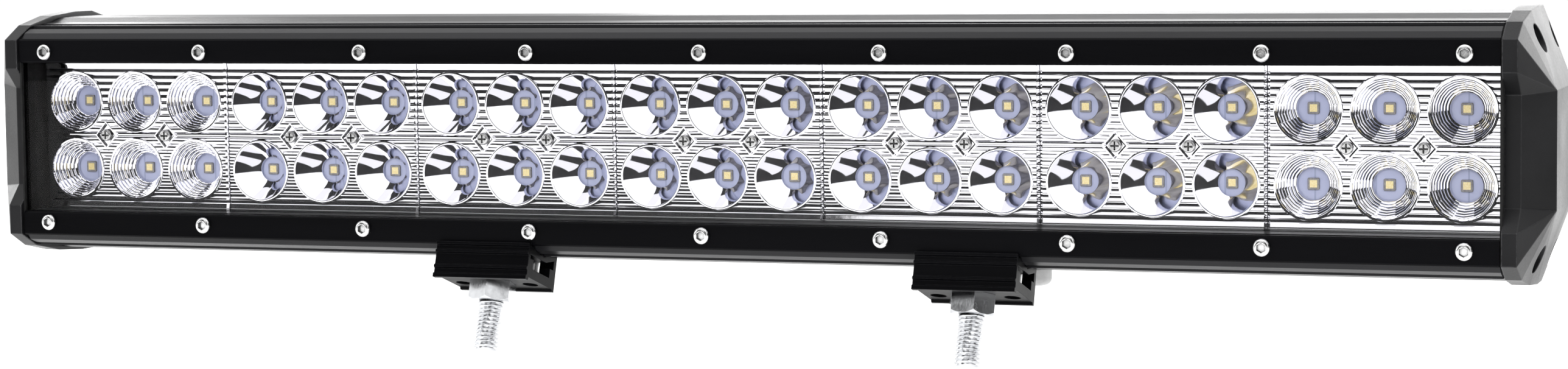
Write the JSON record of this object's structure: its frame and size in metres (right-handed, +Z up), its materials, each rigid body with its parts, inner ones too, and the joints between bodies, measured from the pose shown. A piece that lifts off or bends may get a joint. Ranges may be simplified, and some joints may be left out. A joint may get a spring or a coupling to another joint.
{
  "type": "led light bar",
  "caption": "Double-row LED work light bar with a finned aluminium body, faceted end caps and two sliding stud feet.",
  "frame": {"origin": "middle of the foot rail: mid-length of the bar, on the rail rib that the feet grip", "axes": "+X along the bar to the right seen from the front, +Y from the lens to the cooling fins, +Z up"},
  "size_m": [0.508, 0.0706, 0.1067],
  "materials": {
    "black_extrusion": "black powder-coated extrusion, satin",
    "strip_paint": "black anodised strip, satin",
    "cast_cap_paint": "black powder-coated die casting, fine texture",
    "foot_black": "black anodised extrusion, cut ends",
    "stainless_screws": "stainless steel, bright",
    "zinc_steel": "bright zinc-plated steel",
    "clear_lens": "clear polycarbonate, gloss",
    "reflector_chrome": "vacuum-metallised plastic, polished",
    "white_board": "white solder mask on an aluminium core",
    "led_ceramic": "white ceramic package",
    "led_phosphor": "yellow phosphor under clear silicone",
    "thermal_pad": "grey silicone pad, matte",
    "green_board": "green glass-epoxy board",
    "component_plastic": "moulded components, matte",
    "black_rubber": "silicone rubber, matte",
    "black_nylon": "black nylon, matte",
    "vent_grey": "light grey moulded plastic, satin"
  },
  "bodies": {
    "bar": {"bezel_screws_bottom": "stainless_screws", "bezel_screws_top": "stainless_screws", "bezel_strip_bottom": "strip_paint", "bezel_strip_top": "strip_paint", "cable_gland_body": "black_nylon", "cable_gland_nut": "black_nylon", "cable_gland_seal": "black_rubber", "driver_board": "green_board", "driver_components": "component_plastic", "end_cap_left": "cast_cap_paint", "end_cap_right": "cast_cap_paint", "end_cap_screws_left": "stainless_screws", "end_cap_screws_right": "stainless_screws", "end_gasket_left": "black_rubber", "end_gasket_right": "black_rubber", "front_lens": "clear_lens", "housing": "black_extrusion", "led_board_1": "white_board", "led_board_2": "white_board", "led_board_3": "white_board", "led_board_4": "white_board", "led_board_5": "white_board", "led_board_6": "white_board", "led_board_7": "white_board", "led_emitters": "led_phosphor", "led_packages": "led_ceramic", "lens_seal_bottom": "black_rubber", "lens_seal_top": "black_rubber", "reflector_flood_1": "reflector_chrome", "reflector_flood_7": "reflector_chrome", "reflector_screws": "stainless_screws", "reflector_spot_2": "reflector_chrome", "reflector_spot_3": "reflector_chrome", "reflector_spot_4": "reflector_chrome", "reflector_spot_5": "reflector_chrome", "reflector_spot_6": "reflector_chrome", "thermal_pads": "thermal_pad", "vent_plug": "vent_grey", "vent_seal": "black_rubber"},
    "left_foot": {"foot_left": "foot_black", "mount_bolt_left": "zinc_steel", "mount_nut_left": "zinc_steel", "foot_lock_screws_left": "stainless_screws"},
    "right_foot": {"foot_right": "foot_black", "mount_bolt_right": "zinc_steel", "mount_nut_right": "zinc_steel", "foot_lock_screws_right": "stainless_screws"}
  },
  "joints": [
    {"name": "left_foot_slide", "type": "slide", "parent": "bar", "child": "left_foot", "axis": [1, 0, 0], "range_m": [-0.15, 0.052]},
    {"name": "right_foot_slide", "type": "slide", "parent": "bar", "child": "right_foot", "axis": [1, 0, 0], "range_m": [-0.062, 0.138]}
  ]
}
